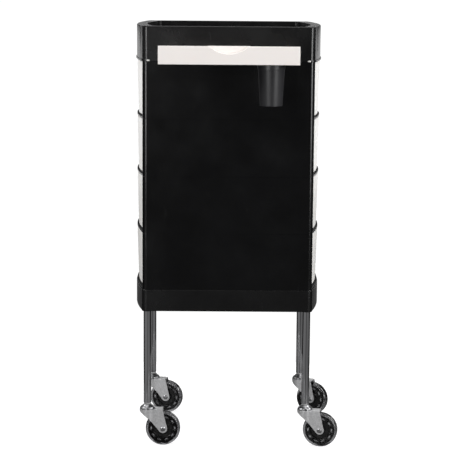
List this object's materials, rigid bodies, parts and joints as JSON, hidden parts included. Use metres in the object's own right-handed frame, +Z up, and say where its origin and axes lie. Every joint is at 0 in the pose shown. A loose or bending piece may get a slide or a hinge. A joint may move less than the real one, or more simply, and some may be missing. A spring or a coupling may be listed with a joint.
{
  "type": "spa trolley cart",
  "caption": "Tall black trolley with white drawers that open to both sides, a pull-out side tray with a hanging tool cup, chrome tube legs and swivel casters.",
  "frame": {"origin": "on the floor, at the middle of the trolley's body, midway between its four legs", "axes": "+Z up, -Y out of the end that holds the side tray, +X and -X the two sides to which the drawers open"},
  "size_m": [0.42, 0.417, 0.86],
  "materials": {
    "black_plastic": "satin black moulded ABS with a fine grain",
    "rail_plastic": "plain black moulded nylon",
    "white_plastic": "smooth off-white moulded plastic",
    "tray_white": "smooth warm white moulded plastic",
    "cup_plastic": "satin black moulded plastic",
    "chrome_tube": "polished chrome plate",
    "zinc_steel": "dull bright zinc plate on pressed steel",
    "bright_steel": "bright plated steel",
    "fastener_steel": "zinc plated steel",
    "core_plastic": "glossy black nylon",
    "tyre_pu": "smoky translucent polyurethane",
    "plug_plastic": "black polyethylene"
  },
  "bodies": {
    "trolley_body": {"top_tray": "black_plastic", "base_tray": "black_plastic", "tray_rails": "rail_plastic", "rail_screws": "fastener_steel", "snap_tabs": "white_plastic", "drawer_frame_1": "black_plastic", "drawer_frame_2": "black_plastic", "drawer_frame_3": "black_plastic", "drawer_frame_4": "black_plastic", "leg_tube_front_left": "chrome_tube", "leg_tube_front_right": "chrome_tube", "leg_tube_rear_left": "chrome_tube", "leg_tube_rear_right": "chrome_tube", "tube_top_plugs": "plug_plastic", "tube_foot_inserts": "fastener_steel", "leg_screws": "fastener_steel", "swivel_balls": "bright_steel", "caster_stem_front_left": "fastener_steel", "caster_stem_front_right": "fastener_steel", "caster_stem_rear_left": "fastener_steel", "caster_stem_rear_right": "fastener_steel", "swivel_cap_front_left": "bright_steel", "swivel_cap_front_right": "bright_steel", "swivel_cap_rear_left": "bright_steel", "swivel_cap_rear_right": "bright_steel"},
    "drawer_1_body": {"drawer_1": "white_plastic"},
    "drawer_2_body": {"drawer_2": "white_plastic"},
    "drawer_3_body": {"drawer_3": "white_plastic"},
    "drawer_4_body": {"drawer_4": "white_plastic"},
    "side_tray_body": {"side_tray": "tray_white"},
    "tool_cup_body": {"tool_cup": "cup_plastic"},
    "caster_front_left": {"caster_fork_front_left": "zinc_steel", "axle_bolt_front_left": "bright_steel", "axle_nut_front_left": "fastener_steel", "axle_sleeve_front_left": "fastener_steel"},
    "wheel_front_left": {"wheel_core_front_left": "core_plastic", "tyre_front_left": "tyre_pu"},
    "caster_front_right": {"caster_fork_front_right": "zinc_steel", "axle_bolt_front_right": "bright_steel", "axle_nut_front_right": "fastener_steel", "axle_sleeve_front_right": "fastener_steel"},
    "wheel_front_right": {"wheel_core_front_right": "core_plastic", "tyre_front_right": "tyre_pu"},
    "caster_rear_left": {"caster_fork_rear_left": "zinc_steel", "axle_bolt_rear_left": "bright_steel", "axle_nut_rear_left": "fastener_steel", "axle_sleeve_rear_left": "fastener_steel"},
    "wheel_rear_left": {"wheel_core_rear_left": "core_plastic", "tyre_rear_left": "tyre_pu"},
    "caster_rear_right": {"caster_fork_rear_right": "zinc_steel", "axle_bolt_rear_right": "bright_steel", "axle_nut_rear_right": "fastener_steel", "axle_sleeve_rear_right": "fastener_steel"},
    "wheel_rear_right": {"wheel_core_rear_right": "core_plastic", "tyre_rear_right": "tyre_pu"}
  },
  "joints": [
    {"name": "drawer_1_slide", "type": "slide", "parent": "trolley_body", "child": "drawer_1_body", "axis": [1, 0, 0], "range_m": [-0.24, 0.24]},
    {"name": "drawer_2_slide", "type": "slide", "parent": "trolley_body", "child": "drawer_2_body", "axis": [1, 0, 0], "range_m": [-0.24, 0.24]},
    {"name": "drawer_3_slide", "type": "slide", "parent": "trolley_body", "child": "drawer_3_body", "axis": [1, 0, 0], "range_m": [-0.24, 0.24]},
    {"name": "drawer_4_slide", "type": "slide", "parent": "trolley_body", "child": "drawer_4_body", "axis": [1, 0, 0], "range_m": [-0.24, 0.24]},
    {"name": "side_tray_slide", "type": "slide", "parent": "trolley_body", "child": "side_tray_body", "axis": [0, -1, 0], "range_m": [-0.038, 0.085]},
    {"name": "tool_cup_lift", "type": "slide", "parent": "side_tray_body", "child": "tool_cup_body", "axis": [0, 0, 1], "range_m": [0, 0.11]},
    {"name": "front_left_swivel", "type": "hinge", "parent": "trolley_body", "child": "caster_front_left", "pos_m": [-0.1623, -0.1312, 0.075], "axis": [0, 0, 1], "continuous": true},
    {"name": "front_left_wheel_spin", "type": "hinge", "parent": "caster_front_left", "child": "wheel_front_left", "pos_m": [-0.1303, -0.1312, 0.0355], "axis": [0, -1, 0], "continuous": true},
    {"name": "front_right_swivel", "type": "hinge", "parent": "trolley_body", "child": "caster_front_right", "pos_m": [0.1623, -0.1312, 0.075], "axis": [0, 0, 1], "continuous": true},
    {"name": "front_right_wheel_spin", "type": "hinge", "parent": "caster_front_right", "child": "wheel_front_right", "pos_m": [0.19381, -0.13676, 0.0355], "axis": [-0.1736, -0.9848, 0], "continuous": true},
    {"name": "rear_left_swivel", "type": "hinge", "parent": "trolley_body", "child": "caster_rear_left", "pos_m": [-0.1623, 0.1312, 0.075], "axis": [0, 0, 1], "continuous": true},
    {"name": "rear_left_wheel_spin", "type": "hinge", "parent": "caster_rear_left", "child": "wheel_rear_left", "pos_m": [-0.131, 0.12455, 0.0355], "axis": [-0.2079, -0.9781, 0], "continuous": true},
    {"name": "rear_right_swivel", "type": "hinge", "parent": "trolley_body", "child": "caster_rear_right", "pos_m": [0.1623, 0.1312, 0.075], "axis": [0, 0, 1], "continuous": true},
    {"name": "rear_right_wheel_spin", "type": "hinge", "parent": "caster_rear_right", "child": "wheel_rear_right", "pos_m": [0.19055, 0.11618, 0.0355], "axis": [-0.4695, -0.8829, 0], "continuous": true}
  ]
}
